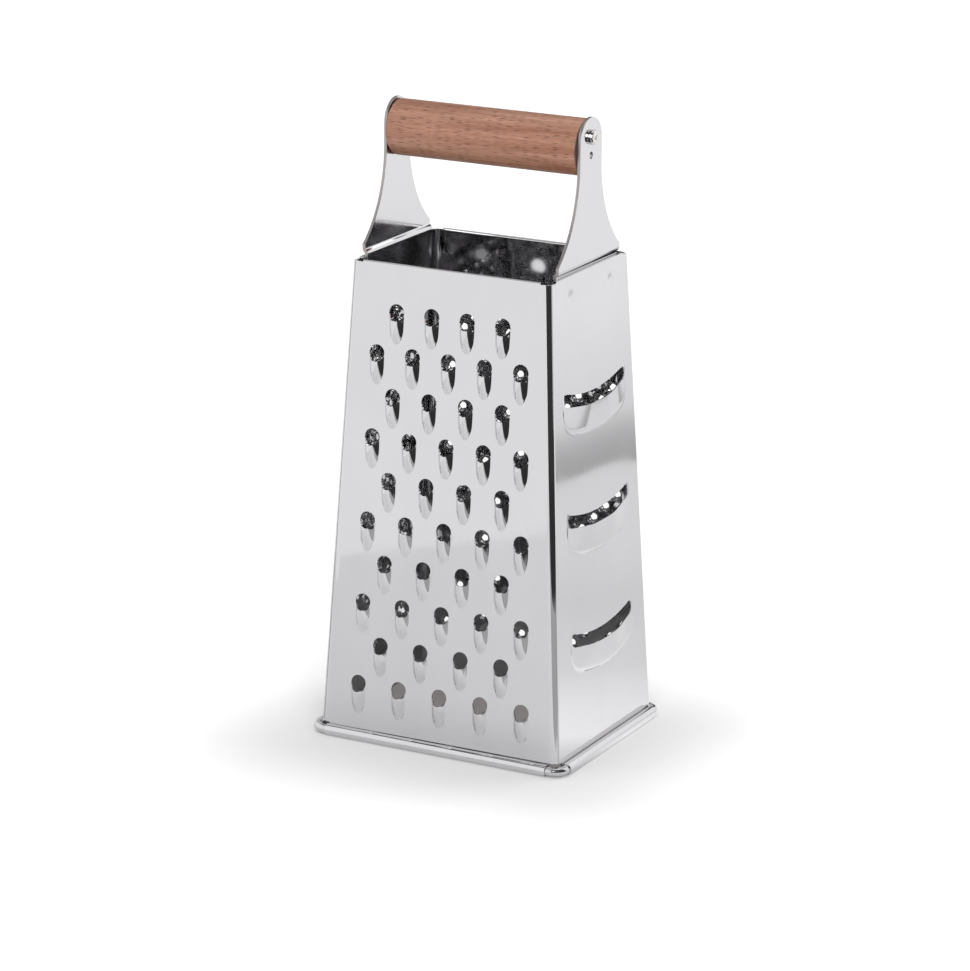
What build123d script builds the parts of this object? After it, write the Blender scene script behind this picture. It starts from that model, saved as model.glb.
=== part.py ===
from build123d import *
import os
from math import acos, atan, cos, degrees, floor, pi, radians, sin, sqrt, tan

# Four-sided box grater, in millimetres. The origin is on the floor under the middle of
# the body, +Z is up, the coarse face looks along -Y and the slicing face along +X.

# Body: a tapered box of four walls, measured over their outer faces
body_h = 192.0          # floor to the folded top rim
base_w = 105.8          # coarse and medium walls, where their planes meet the floor
base_d = 82.7           # fine and slicing walls, likewise
top_w = 85.7
top_d = 65.6
sheet_t = 0.5

# Folded top rim of each wall
hem_gap = 0.6
hem_leg = 5.0
hem_end_gap = 4.6       # from a wall's corner to the end of its fold

# Wire frame in the foot, and the curl that each wall rolls round it
wire_d = 3.6
wire_sides = 10
wire_bend_r = 5.2
wire_bend_steps = 3      # straight lengths that stand for each bend
wire_clearance = 0.02
curl_mouth = 0.3        # gap between the curl's lip and the wall
curl_end_gap = 6.4      # bare wire between a curl and the corner
notch_gap = 0.6         # slit between a wall's corner and the wire
foot_flat_w = 1.2       # narrow flat that each curl stands on

# Corner of the coarse and medium walls: a soft bend, a tight one, then a tucked flange
corner_soft_r = 4.0
corner_tight_r = 0.9
corner_soft_angle = 45.0
corner_flange = 6.0
side_edge_set_back = 1.4   # fine and slicing walls stop this far short of the corner

# Coarse face: staggered rows of round holes, each over a pressed scoop
coarse_row_pitch = 16.7
coarse_low_z = 22.9
coarse_top_gap = 16.0        # least, from the top row to the rim
coarse_wide_count = 5
coarse_pitch_share = 0.349   # hole pitch as a share of the wall's half width
coarse_hole_d = 6.6
coarse_hole_sides = 10
scoop_len = 11.9             # hole's centre to the scoop's tip
scoop_w = 7.5
scoop_h = 2.4
scoop_sides = 8
scoop_mouth_share = 0.3      # of the hole's radius, from its centre down to the mouth
scoop_belly_share = 0.52     # of the scoop's length, where its sides start to close in
scoop_belly_r_share = 0.93   # of its largest radius, there
scoop_mouth_r_share = 0.95   # of its largest radius, at the mouth

# Medium face
medium_row_pitch = 5.52
medium_low_z = 24.8
medium_top_gap = 32.0
medium_wide_count = 8
medium_pitch_share = 0.224
medium_hole_d = 3.4
medium_hole_sides = 3

# Fine face
fine_row_pitch = 7.8
fine_low_z = 24.8
fine_top_gap = 24.0
fine_wide_count = 6
fine_pitch_share = 0.3
fine_hole_d = 2.2
fine_hole_sides = 3

# Slicing face: curved slots over raised blades. Heights are from a slot's own middle.
slot_pitch = 47.6
slot_low_z = 50.0
slot_top_gap = 32.0
slot_w = 51.0
slot_end_h = 5.4
slot_mid_h = 4.2
slot_sag = 3.7          # of the upper edge, from its ends to its middle
lip_h = 2.2             # blade's edge above the wall
lip_foot_h = 1.3        # where the steep lower flank gives way to the gentle roof
lip_drop = 11.9         # blade's edge to the lip's foot, in the middle
lip_sag = 6.1
lip_flank_run = 1.7
lip_side_gap = 1.2      # lip's foot beyond each end of the slot
lip_corner_r = 4.0

# Handle
handle_d = 22.0
handle_rise = 46.2      # rim to the bar's axis
handle_edge = 1.2

# Brackets
bracket_t = 1.2
bracket_step = 1.15     # the upright's outer face, outward of the fold that the flange lies on
bracket_rise = 58.0     # rim to the bracket's top
tongue_w = 18.2
flare_rise = 40.0       # rim to where the tongue's straight sides begin
flare_r = 46.0
bracket_foot_gap = 6.8  # coarse and medium walls' outer faces to the foot's sides
bracket_flange = 13.5   # below the body's rim
foot_bend_r = 0.9       # inside radius of the foot's two bends
bend_clearance = 0.4    # rim to the start of the foot's lower bend
flange_corner_r = 3.0

# Pressed joints between bracket and wall
dimple_span = 33.4
dimple_d = 5.6
dimple_flat_d = 2.0
dimple_sides = 8
dimple_drop = 8.0       # below the rim

# Screws, and the pressed nib under each that keeps the handle from turning
screw_lift = 4.2        # above the bar's axis
screw_head_d = 5.8
screw_head_h = 1.9
screw_head_bevel = 1.1
screw_shank_d = 3.2
screw_len = 14.0        # under the head
screw_tip_bevel = 1.2
screw_sides = 12
screw_clearance = 0.1
nib_drop = 2.9          # below the bar's axis
nib_d = 3.0
nib_h = 0.8
nib_sides = 8
nib_clearance = 0.1

overrun = 5.0

# Worked out from the sizes above
front_lean = degrees(atan((base_d - top_d) / 2 / body_h))
side_lean = degrees(atan((base_w - top_w) / 2 / body_h))
wire_r = wire_d / 2
curl_r = wire_r + sheet_t
foot_z = sqrt(curl_r**2 - (foot_flat_w / 2) ** 2)
hem_r = hem_gap / 2 + sheet_t
hem_t = 2 * hem_r
notch_z = foot_z + wire_r + notch_gap
side_sheet = sheet_t / cos(radians(side_lean))
front_sheet = sheet_t / cos(radians(front_lean))
bracket_bottom_z = body_h - bracket_flange
bracket_top_z = body_h + bracket_rise
bracket_reach = top_w / 2 - hem_t + bracket_step
bracket_foot_w = top_d - 2 * bracket_foot_gap
flare_top_z = body_h + flare_rise
handle_z = body_h + handle_rise
screw_z = handle_z + screw_lift
nib_z = handle_z - nib_drop


def half_w(z):
    """Half the body's width over its outer faces at a height."""
    return (base_w + (top_w - base_w) * z / body_h) / 2


def half_d(z):
    """Half the body's depth over its outer faces at a height."""
    return (base_d + (top_d - base_d) * z / body_h) / 2


def wall_plane(reach, lean):
    """Outer face of a wall that looks along -Y: x across, y up the slope, z out."""
    angle = radians(lean)
    return Plane(origin=(0, -reach, 0), x_dir=(1, 0, 0), z_dir=(0, -cos(angle), sin(angle)))


coarse_plane = wall_plane(base_d / 2, front_lean)
slicing_plane = wall_plane(base_w / 2, side_lean)


def up_slope(z, lean):
    """Length up a wall's outer face to a height."""
    return z / cos(radians(lean))


def curl_centre(lean):
    """Wire's centre up the slope, where the wire touches the wall's outer face."""
    return (foot_z - wire_r * sin(radians(lean))) / cos(radians(lean))


def fold_centre(lean):
    """Centre of the rim's fold, up the slope."""
    return (body_h - hem_r + hem_r * sin(radians(lean))) / cos(radians(lean))


def straight_top(lean):
    """Height where a wall's outer face meets its fold."""
    return fold_centre(lean) * cos(radians(lean))


# ---- shapes shared by the four walls

def along_wall(plane, profile, half):
    """Extrude a profile, drawn as x out of the wall and y up the slope, both ways."""
    side = Plane(origin=plane.origin, x_dir=plane.z_dir, z_dir=-plane.x_dir)
    return extrude(side * profile, half, both=True)


def rolled_foot(plane, lean, half):
    """The strip under a wall and its curl round the wire."""
    centre, top = curl_centre(lean), up_slope(notch_z, lean) + overrun
    strip = Polygon((0, centre), (0, top), (-sheet_t, top), (-sheet_t, centre), align=None)
    shut = acos((wire_r - curl_mouth) / curl_r)
    reach = 2 * curl_r
    mouth = Polygon((0, 0), (-reach, 0), (-reach, reach * tan(shut)), align=None)
    curl = Pos(wire_r, centre) * (Circle(curl_r) - Circle(wire_r) - mouth)
    floor = Pos(0, 0, -overrun) * Box(4 * base_w, 4 * base_w, 2 * overrun)
    return along_wall(plane, strip + curl, half) - floor


def folded_rim(plane, lean, half):
    """The fold along a wall's top, and the leg that it turns down inside."""
    centre = fold_centre(lean)
    below = Pos(-hem_r, centre - hem_r) * Rectangle(4 * hem_r, 2 * hem_r)
    fold = Pos(-hem_r, centre) * (Circle(hem_r) - Circle(hem_gap / 2)) - below
    leg = Polygon((-hem_t, centre), (-hem_t, centre - hem_leg),
                  (-hem_t + sheet_t, centre - hem_leg), (-hem_t + sheet_t, centre), align=None)
    return along_wall(plane, fold + leg, half)


def corner_points(z, inset):
    """One line of a wrapped corner's level section, an inset in from the outer face."""
    soft, square = radians(corner_soft_angle), radians(90)
    x_end = half_w(z) - side_sheet
    x0 = x_end - corner_soft_r * sin(soft) - corner_tight_r * (1 - sin(soft))
    y0 = -half_d(z)

    def on_soft(angle):
        return (x0 + (corner_soft_r - inset) * sin(angle),
                y0 + corner_soft_r - (corner_soft_r - inset) * cos(angle))

    shift = corner_soft_r - corner_tight_r
    cx, cy = x0 + shift * sin(soft), y0 + corner_soft_r - shift * cos(soft)

    def on_tight(angle):
        return cx + (corner_tight_r - inset) * sin(angle), cy - (corner_tight_r - inset) * cos(angle)

    return (on_soft(0), on_soft(soft / 2), on_soft(soft), on_tight((soft + square) / 2),
            on_tight(square), (x_end - inset, cy + corner_flange))


def wrapped_section(z):
    """Level section of a wall whose edges turn round both corners."""
    outer, inner = corner_points(z, 0), corner_points(z, front_sheet)
    edges = []
    for side in (1, -1):
        for line in (outer, inner):
            start, mid_soft, bend, mid_tight, turned, end = [(side * x, y) for x, y in line]
            edges += [ThreePointArc(start, mid_soft, bend), ThreePointArc(bend, mid_tight, turned),
                      Line(turned, end)]
        edges.append(Line((side * outer[-1][0], outer[-1][1]), (side * inner[-1][0], inner[-1][1])))
    for line in (outer, inner):
        edges.append(Line((-line[0][0], line[0][1]), line[0]))
    return Pos(0, 0, z) * make_face(edges)


def plain_section(z):
    """Level section of a wall that stops short of both corners."""
    half, y = half_d(z) - side_edge_set_back, -half_w(z)
    return Pos(0, 0, z) * Polygon((-half, y), (half, y), (half, y + side_sheet),
                                  (-half, y + side_sheet), align=None)


def blank_wall(section, plane, lean, half):
    """A wall without its holes, as it stands at the front."""
    sheet = loft([section(notch_z), section(straight_top(lean))], ruled=True)
    foot = rolled_foot(plane, lean, half(foot_z) - curl_end_gap)
    return sheet + foot + folded_rim(plane, lean, half(body_h) - hem_end_gap)


def heights(low_z, pitch, top_gap):
    """Heights from the lowest row up, as far as the rim allows."""
    return [low_z + row * pitch for row in range(1 + floor((body_h - top_gap - low_z) / pitch))]


def staggered(rows, wide_count, pitch_share, half):
    """Places (across, height) in staggered rows that close up as the wall narrows."""
    places = []
    for row, z in enumerate(rows):
        count = wide_count - row % 2
        places += [((i - (count - 1) / 2) * pitch_share * half(z), z) for i in range(count)]
    return places


def punched(wall, places, plane, lean, sides, size):
    """Cut one plain hole through the wall at every place."""
    through = extrude(RegularPolygon(size / 2, sides), overrun, both=True)
    return wall - [plane * Pos(x, up_slope(z, lean)) * through for x, z in places]


# ---- the four walls

def scoop(inset):
    """A scoop's bulge from mouth to tip, about a line that lies behind the wall's face."""
    behind = ((scoop_w / 2) ** 2 - scoop_h**2) / (2 * scoop_h)
    largest = behind + scoop_h
    hole_r = coarse_hole_d / 2
    stations = [
        (scoop_mouth_share * hole_r, scoop_mouth_r_share * largest),
        (scoop_belly_share * scoop_len, scoop_belly_r_share * largest),
        (scoop_len - inset, behind),
    ]
    sections = []
    for drop, radius in stations:
        station = Plane(origin=(0, -drop, -behind), x_dir=(1, 0, 0), z_dir=(0, 1, 0))
        sections.append(station * RegularPolygon(radius - inset, scoop_sides))
    return loft(sections, ruled=True)


def front_panel():
    wall = blank_wall(wrapped_section, coarse_plane, front_lean, half_w)
    outside = Pos(0, 0, overrun - sheet_t / 2) * Box(2 * scoop_w, 3 * scoop_len, 2 * overrun)
    hole = extrude(RegularPolygon(coarse_hole_d / 2, coarse_hole_sides), overrun, both=True)
    raised, hollow = scoop(0) & outside, scoop(sheet_t) + hole
    rows = heights(coarse_low_z, coarse_row_pitch, coarse_top_gap)
    places = staggered(rows, coarse_wide_count, coarse_pitch_share, half_w)
    spots = [coarse_plane * Pos(x, up_slope(z, front_lean)) for x, z in places]
    return wall + [spot * raised for spot in spots] - [spot * hollow for spot in spots]


def back_panel():
    wall = blank_wall(wrapped_section, coarse_plane, front_lean, half_w)
    rows = heights(medium_low_z, medium_row_pitch, medium_top_gap)
    places = staggered(rows, medium_wide_count, medium_pitch_share, half_w)
    wall = punched(wall, places, coarse_plane, front_lean, medium_hole_sides, medium_hole_d)
    return Rot(0, 0, 180) * wall


def dimpled(wall):
    """Press the two joints in from a side wall's face until they meet the bracket."""
    depth = hem_t - sheet_t
    lean_in = degrees(atan((dimple_d - dimple_flat_d) / 2 * cos(pi / dimple_sides) / depth))
    dent = extrude(RegularPolygon(dimple_d / 2, dimple_sides), -depth, taper=lean_in)
    spots = [slicing_plane * Pos(side * dimple_span / 2, up_slope(body_h - dimple_drop, side_lean))
             for side in (1, -1)]
    return wall + [spot * Pos(0, 0, -sheet_t) * dent for spot in spots] - [spot * dent for spot in spots]


def left_panel():
    wall = dimpled(blank_wall(plain_section, slicing_plane, side_lean, half_d))
    rows = heights(fine_low_z, fine_row_pitch, fine_top_gap)
    places = staggered(rows, fine_wide_count, fine_pitch_share, half_d)
    wall = punched(wall, places, slicing_plane, side_lean, fine_hole_sides, fine_hole_d)
    return Rot(0, 0, -90) * wall


def smile(half, end_y, mid_y):
    """An arc that sags between two ends at the same height."""
    return ThreePointArc((-half, end_y), (0, mid_y), (half, end_y))


def slot_face():
    """Opening between the slot's upper edge and the blade's."""
    half, high, low = slot_w / 2, slot_end_h / 2, -slot_end_h / 2
    upper = smile(half, high, high - slot_sag)
    blade = smile(half, low, high - slot_sag - slot_mid_h)
    return make_face([upper, blade, Line((-half, high), (-half, low)), Line((half, high), (half, low))])


def lip_outline(inset):
    """Outline of the raised lip, from the slot's upper edge down to the lip's foot."""
    half = slot_w / 2 + lip_side_gap - inset
    high = slot_end_h / 2 - inset
    foot = slot_end_h / 2 - slot_sag - slot_mid_h - lip_drop + inset
    top = smile(half, high, high - slot_sag)
    bottom = smile(half, foot + lip_sag, foot)
    face = make_face([top, bottom, Line((-half, high), (-half, foot + lip_sag)),
                      Line((half, high), (half, foot + lip_sag))])
    return fillet(face.vertices().sort_by(Axis.Y)[:2], lip_corner_r)


def lip_bulge(inset, rise):
    """The lip's bulge: flanks that lean in, under a roof that climbs to the blade."""
    top = Pos(0, 0, lip_h) * lip_outline(inset + lip_flank_run)
    flanks = loft([lip_outline(inset), top], ruled=True)
    blade_y = slot_end_h / 2 - slot_sag - slot_mid_h
    foot_y = blade_y - lip_drop + lip_flank_run
    climb = (lip_h - lip_foot_h) / (blade_y - foot_y)

    def roof(y):
        return lip_foot_h - overrun + climb * (y - foot_y)

    low, high = foot_y - lip_drop, blade_y + lip_drop
    side = Plane.YZ * Polygon((low, roof(low)), (high, roof(high)), (high, -overrun), (low, -overrun), align=None)
    return Pos(0, 0, rise) * (flanks & Pos(0, 0, overrun) * extrude(side, slot_w, both=True))


def right_panel():
    wall = dimpled(blank_wall(plain_section, slicing_plane, side_lean, half_d))
    blade_y = -slot_end_h / 2
    # the blade's own arc, carried past the lip's flanks
    blade_mid = slot_end_h / 2 - slot_sag - slot_mid_h
    sag = blade_y - blade_mid
    radius = ((slot_w / 2) ** 2 + sag**2) / (2 * sag)
    above = Pos(0, blade_mid + radius) * Circle(radius)
    lip = lip_bulge(0, 0) - extrude(above, overrun, both=True)
    hollow = lip_bulge(sheet_t / 2, -sheet_t)
    opening = extrude(slot_face(), overrun, both=True)
    for z in heights(slot_low_z, slot_pitch, slot_top_gap):
        spot = slicing_plane * Pos(0, up_slope(z, side_lean))
        wall = wall + spot * lip - spot * (hollow + opening)
    return Rot(0, 0, 90) * wall


# ---- wire, brackets, handle and screws

def wire_reach(reach, lean):
    """Wire's centre line from the middle, outside a wall's face."""
    angle = radians(lean)
    return reach - curl_centre(lean) * sin(angle) + wire_r * cos(angle)


def base_wire():
    """One closed wire, its bends in short straight lengths."""
    x, y = wire_reach(base_w / 2, side_lean), wire_reach(base_d / 2, front_lean)
    points = []
    for quarter, (sx, sy) in enumerate(((1, 1), (-1, 1), (-1, -1), (1, -1))):
        cx, cy = sx * (x - wire_bend_r), sy * (y - wire_bend_r)
        for step in range(wire_bend_steps + 1):
            angle = radians(90 * (quarter + step / wire_bend_steps))
            points.append((cx + wire_bend_r * cos(angle), cy + wire_bend_r * sin(angle)))
    path = Pos(0, 0, foot_z) * Polyline(*points, close=True)
    middle = path.edges().sort_by(Axis.Y)[0]
    section = Plane(origin=middle @ (1 / 2), z_dir=middle % (1 / 2)) * RegularPolygon(
        wire_r - wire_clearance, wire_sides)
    return sweep(section, path, transition=Transition.RIGHT)


def bracket_profile():
    """Side profile (x out, z up) of the right bracket: flange, two bends, upright."""
    lean, half_t = radians(side_lean), bracket_t / 2
    mid_r = foot_bend_r + half_t
    bend_z = body_h + bend_clearance
    seat_x = half_w(bend_z) - hem_t / cos(lean)
    mx, mz = seat_x - half_t * cos(lean), bend_z - half_t * sin(lean)
    shift = bracket_reach - half_t - mx
    steep = acos((cos(lean) + 1 - shift / mid_r) / 2)
    c1 = (mx + mid_r * cos(lean), mz + mid_r * sin(lean))
    c2 = (c1[0] - 2 * mid_r * cos(steep), c1[1] + 2 * mid_r * sin(steep))

    def lower(offset, angle):
        return c1[0] - (mid_r - offset) * cos(angle), c1[1] + (mid_r - offset) * sin(angle)

    def upper(offset, angle):
        return c2[0] + (mid_r + offset) * cos(angle), c2[1] - (mid_r + offset) * sin(angle)

    edges, ends = [], []
    fall = (mz - bracket_bottom_z) / cos(lean) + overrun
    for offset in (half_t, -half_t):
        start = lower(offset, -lean)
        bottom = (start[0] + fall * sin(lean), start[1] - fall * cos(lean))
        knee, hip = lower(offset, steep), upper(offset, 0)
        top = (hip[0], bracket_top_z + overrun)
        edges += [Line(bottom, start), ThreePointArc(start, lower(offset, (steep - lean) / 2), knee),
                  ThreePointArc(knee, upper(offset, steep / 2), hip), Line(hip, top)]
        ends.append((bottom, top))
    edges += [Line(ends[0][0], ends[1][0]), Line(ends[0][1], ends[1][1])]
    return Plane.XZ * make_face(edges)


def bracket_outline():
    """Front outline (y across, z up) of a bracket: tongue, flared foot, flange."""
    tongue, foot = tongue_w / 2, bracket_foot_w / 2
    arc_z = bracket_top_z - tongue
    run = foot - tongue
    drop = sqrt(flare_r**2 - (flare_r - run) ** 2)
    half_turn = atan(drop / (flare_r - run)) / 2
    edges = []
    for side in (1, -1):
        mid = (side * (tongue + flare_r * (1 - cos(half_turn))), flare_top_z - flare_r * sin(half_turn))
        edges += [Line((side * foot, bracket_bottom_z), (side * foot, flare_top_z - drop)),
                  ThreePointArc((side * foot, flare_top_z - drop), mid, (side * tongue, flare_top_z)),
                  Line((side * tongue, flare_top_z), (side * tongue, arc_z))]
    edges += [Line((-foot, bracket_bottom_z), (foot, bracket_bottom_z)),
              ThreePointArc((tongue, arc_z), (0, bracket_top_z), (-tongue, arc_z))]
    face = make_face(edges)
    return Plane.YZ * fillet(face.vertices().sort_by(Axis.Y)[:2], flange_corner_r)


def across(x, z):
    """Plane at a point on the handle's side of a bracket, looking out along +X."""
    return Plane(origin=(x, 0, z), x_dir=(0, 1, 0), z_dir=(1, 0, 0))


def nib(grow):
    """The nib that a bracket's inner face presses into the wood, or its pocket."""
    return extrude(across(bracket_reach - bracket_t, nib_z) * RegularPolygon(nib_d / 2 + grow, nib_sides),
                   -nib_h - grow)


def screw_way():
    """A screw's hole, a clearance wider and longer than its shank, through bracket and wood."""
    wide = screw_shank_d / 2 + screw_clearance
    face = across(bracket_reach - screw_len - screw_clearance, screw_z) * RegularPolygon(wide, screw_sides)
    return extrude(face, screw_len + overrun)


def right_bracket():
    strip = extrude(bracket_profile(), bracket_foot_w, both=True)
    plate = strip & extrude(bracket_outline(), base_w)
    return plate - screw_way() + nib(0) - Pos(bracket_t, 0, 0) * nib(0)


def handle():
    """Turned beech bar with a screw hole and a nib's pocket in each end."""
    bar = Pos(0, 0, handle_z) * Rot(0, 90, 0) * Cylinder(handle_d / 2, 2 * (bracket_reach - bracket_t))
    bar = chamfer(bar.edges().filter_by(GeomType.CIRCLE), handle_edge)
    cuts = screw_way() + nib(nib_clearance)
    return bar - cuts - mirror(cuts, Plane.YZ)


def right_screw():
    """Pan head and shank, both with a bevelled end."""
    seat = across(bracket_reach, screw_z)
    head = extrude(seat * RegularPolygon(screw_head_d / 2, screw_sides), screw_head_h)
    shank = extrude(seat * RegularPolygon(screw_shank_d / 2, screw_sides), -screw_len)
    head = chamfer(head.faces().sort_by(Axis.X)[-1].edges(), screw_head_bevel)
    return head + chamfer(shank.faces().sort_by(Axis.X)[0].edges(), screw_tip_bevel)


def build():
    """Every node by name; the left hand pieces mirror the right hand ones."""
    bracket, screw = right_bracket(), right_screw()
    return {
        "front_panel": front_panel(),
        "back_panel": back_panel(),
        "left_panel": left_panel(),
        "right_panel": right_panel(),
        "base_wire": base_wire(),
        "right_bracket": bracket,
        "left_bracket": mirror(bracket, Plane.YZ),
        "handle": handle(),
        "right_screw": screw,
        "left_screw": mirror(screw, Plane.YZ),
    }


os.makedirs("parts", exist_ok=True)
for name, solid in build().items():
    print(name, len(solid.solids()), "solid,", round(solid.volume, 1), "mm3")
    export_step(solid, f"parts/{name}.step")
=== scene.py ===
"""A box grater of bright stainless sheet with a beech handle, on a pale studio floor."""
import logging
from dataclasses import dataclass
from enum import Enum
from math import acos, atan, copysign, cos, hypot, pi, radians, sin, sqrt
from typing import Callable, Iterable, Sequence

import bpy
from bpy.types import Material, Node, NodeSocket, Object, World
from mathutils import Matrix, Quaternion, Vector
from mathutils.kdtree import KDTree


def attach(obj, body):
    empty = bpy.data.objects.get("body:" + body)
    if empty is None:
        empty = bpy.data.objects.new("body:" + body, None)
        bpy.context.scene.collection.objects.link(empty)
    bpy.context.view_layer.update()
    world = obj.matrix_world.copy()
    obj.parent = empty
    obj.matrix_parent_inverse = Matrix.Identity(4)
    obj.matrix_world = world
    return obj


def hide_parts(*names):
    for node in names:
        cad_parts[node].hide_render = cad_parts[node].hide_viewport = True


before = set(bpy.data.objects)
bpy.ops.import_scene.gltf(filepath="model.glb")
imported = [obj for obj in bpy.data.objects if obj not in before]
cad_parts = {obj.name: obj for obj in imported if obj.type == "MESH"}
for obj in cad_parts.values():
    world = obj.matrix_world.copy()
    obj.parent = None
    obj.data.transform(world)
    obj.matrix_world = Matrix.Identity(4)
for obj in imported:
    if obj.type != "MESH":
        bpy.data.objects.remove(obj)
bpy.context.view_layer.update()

Point = tuple[float, float]
Colour = tuple[float, float, float, float]

MM = 0.001
HAIR = 1e-6  # metres within which a point counts as lying on an edge
log = logging.getLogger("grater")


# ---- small helpers

def linear(code: str) -> Colour:
    """Turn an sRGB hex colour into the linear colour that shader sockets take.

    Args:
        code: Six hex digits, with or without a leading hash.
    Returns:
        Linear red, green and blue, with an alpha of 1.
    """
    digits = code.lstrip("#")
    parts = [int(digits[i:i + 2], 16) / 255 for i in (0, 2, 4)]
    red, green, blue = (c / 12.92 if c <= 0.04045 else ((c + 0.055) / 1.055) ** 2.4 for c in parts)
    return red, green, blue, 1.0


def grey(level: float) -> Colour:
    """A linear grey with an alpha of 1."""
    return level, level, level, 1.0


def only(*pieces: Object) -> None:
    """Select these pieces and nothing else, the last of them active.

    Args:
        pieces: Objects to select.
    """
    bpy.ops.object.select_all(action="DESELECT")
    for piece in pieces:
        piece.select_set(True)
    bpy.context.view_layer.objects.active = pieces[-1]


def mode(name: str) -> None:
    """Switch between EDIT and OBJECT mode."""
    bpy.ops.object.mode_set(mode=name)


def primitive(kind: str, name: str, **settings: object) -> Object:
    """Add a primitive and apply its place to its mesh.

    Args:
        kind: Which one, as in the operator's name.
        name: The new object's name.
        settings: The operator's settings.
    Returns:
        The new object.
    """
    bpy.ops.object.select_all(action="DESELECT")
    getattr(bpy.ops.mesh, f"primitive_{kind}_add")(**settings)
    bpy.ops.object.transform_apply(location=True, rotation=True, scale=True)
    piece = bpy.context.active_object
    piece.name = piece.data.name = name
    return piece


def pick(piece: Object, test: Callable[[Vector], bool]) -> None:
    """Select in edit mode the points of a piece that pass a test of their place.

    Args:
        piece: The mesh object.
        test: Says whether a point at that place is wanted.
    """
    only(piece)
    mode("EDIT")
    bpy.ops.mesh.select_mode(type="VERT")
    bpy.ops.mesh.select_all(action="DESELECT")
    mode("OBJECT")
    piece.data.vertices.foreach_set("select", [bool(test(v.co)) for v in piece.data.vertices])
    mode("EDIT")
    bpy.ops.mesh.select_mode(type="VERT")


def reshape(piece: Object, place: Callable[[Vector], Vector]) -> None:
    """Leave edit mode and move each selected point to a new place.

    Args:
        piece: The mesh object in edit mode.
        place: Gives a point's new place from its present one.
    """
    mode("OBJECT")
    for vertex in piece.data.vertices:
        if vertex.select:
            vertex.co = place(vertex.co)


def pull(piece: Object, steps: Sequence[Callable[[Vector], Vector]]) -> None:
    """Extrude the selected edges again and again, each time to a new place.

    Args:
        piece: The mesh object, in edit mode with the first edges selected.
        steps: One rule of place for each extrusion.
    """
    for place in steps:
        mode("EDIT")
        bpy.ops.mesh.extrude_region_move()
        reshape(piece, place)


def loops(name: str, rings: Sequence[Sequence[Vector]], middle: bool = False) -> Object:
    """Draw a closed ring and extrude it through the others.

    Args:
        name: Name of the new object.
        rings: Rings of equally many points, the first one drawn as a circle primitive.
        middle: Whether the first ring is filled.
    Returns:
        The new mesh object.
    """
    piece = primitive("circle", name, vertices=len(rings[0]), fill_type="NGON" if middle else "NOTHING")
    for vertex, co in zip(piece.data.vertices, rings[0]):
        vertex.co = co
    mode("EDIT")
    bpy.ops.mesh.select_all(action="SELECT")
    if middle:
        bpy.ops.mesh.select_mode(type="EDGE")
        bpy.ops.mesh.select_mode(type="VERT")
    for before, after in zip(rings, rings[1:]):
        tree = KDTree(len(before))
        for i, co in enumerate(before):
            tree.insert(co, i)
        tree.balance()
        if middle and before is rings[0]:
            bpy.ops.mesh.extrude_edges_move()
        else:
            bpy.ops.mesh.extrude_region_move()
        reshape(piece, lambda co: after[tree.find(co)[1]])
        mode("EDIT")
    mode("OBJECT")
    return piece


def finish_with(piece: Object, kind: str, **settings: object) -> None:
    """Add a modifier to a piece and apply it.

    Args:
        piece: The mesh object.
        kind: The modifier's type.
        settings: Its properties.
    """
    only(piece)
    modifier = piece.modifiers.new(kind.title(), kind)
    for key, value in settings.items():
        setattr(modifier, key, value)
    bpy.ops.object.modifier_apply(modifier=modifier.name)


def smooth(piece: Object, angle: float) -> None:
    """Shade a piece smooth except over edges sharper than an angle in degrees."""
    only(piece)
    bpy.ops.object.shade_smooth_by_angle(angle=radians(angle))


def hand_over(piece: Object, material: Material, node: str) -> None:
    """Give a finished piece its material and put it in the place of its CAD node.

    Args:
        piece: The mesh object.
        material: Its material.
        node: The CAD node that it stands for.
    """
    piece.data.materials.clear()
    piece.data.materials.append(material)
    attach(piece, "root")
    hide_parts(node)
    log.info("%s: %d faces", node, len(piece.data.polygons))


def blend(a: float, b: float, share: float) -> float:
    """A value between two others."""
    return a + (b - a) * share


def near_max(a: float, b: float, width: float) -> float:
    """The larger of two values, with the crease between them rounded over a width."""
    gap = max(width - abs(a - b), 0.0) / width
    return max(a, b) + gap * gap * width / 4


def circle(count: int, radius: float) -> list[Point]:
    """Points spaced evenly round a circle."""
    return [(radius * cos(2 * pi * i / count), radius * sin(2 * pi * i / count)) for i in range(count)]


# ---- finishes

class Nodes:
    """The node tree of a material or a world, with a short way to add and wire nodes."""

    def __init__(self, owner: Material | World) -> None:
        """Start an empty tree.

        Args:
            owner: The material or world that it belongs to.
        """
        owner.use_nodes = True
        self.owner, self.tree = owner, owner.node_tree
        self.tree.nodes.clear()

    def add(self, kind: str, *inputs: object, stops: Sequence[tuple[float, Colour]] = (),
            **settings: object) -> Node:
        """Add a node.

        Args:
            kind: Its type without ShaderNode in front.
            inputs: What its sockets get, in order or as a dict by name or number: a value, an output, or a
                node that gives its first output.
            stops: Places and colours of a colour ramp.
            settings: Its properties.
        Returns:
            The node.
        """
        node = self.tree.nodes.new("ShaderNode" + kind)
        for key, value in settings.items():
            setattr(node, key, value)
        named = inputs[0] if inputs and isinstance(inputs[0], dict) else dict(enumerate(inputs))
        for key, value in named.items():
            if isinstance(value, Node):
                value = value.outputs[0]
            if isinstance(value, NodeSocket):
                self.tree.links.new(value, node.inputs[key])
            else:
                node.inputs[key].default_value = value
        if stops:
            points = node.color_ramp.elements
            while len(points) < len(stops):
                points.new(0.5)
            for point, (place, colour) in zip(points, stops):
                point.position, point.color = place, colour
        return node

    def per_mm(self, x: float, y: float, z: float) -> Node:
        """Object coordinates scaled to so many repeats of a pattern per millimetre along each axis."""
        return self.add("Mapping", {"Vector": self.add("TexCoord").outputs["Object"],
                                    "Scale": (x / MM, y / MM, z / MM)})


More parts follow.
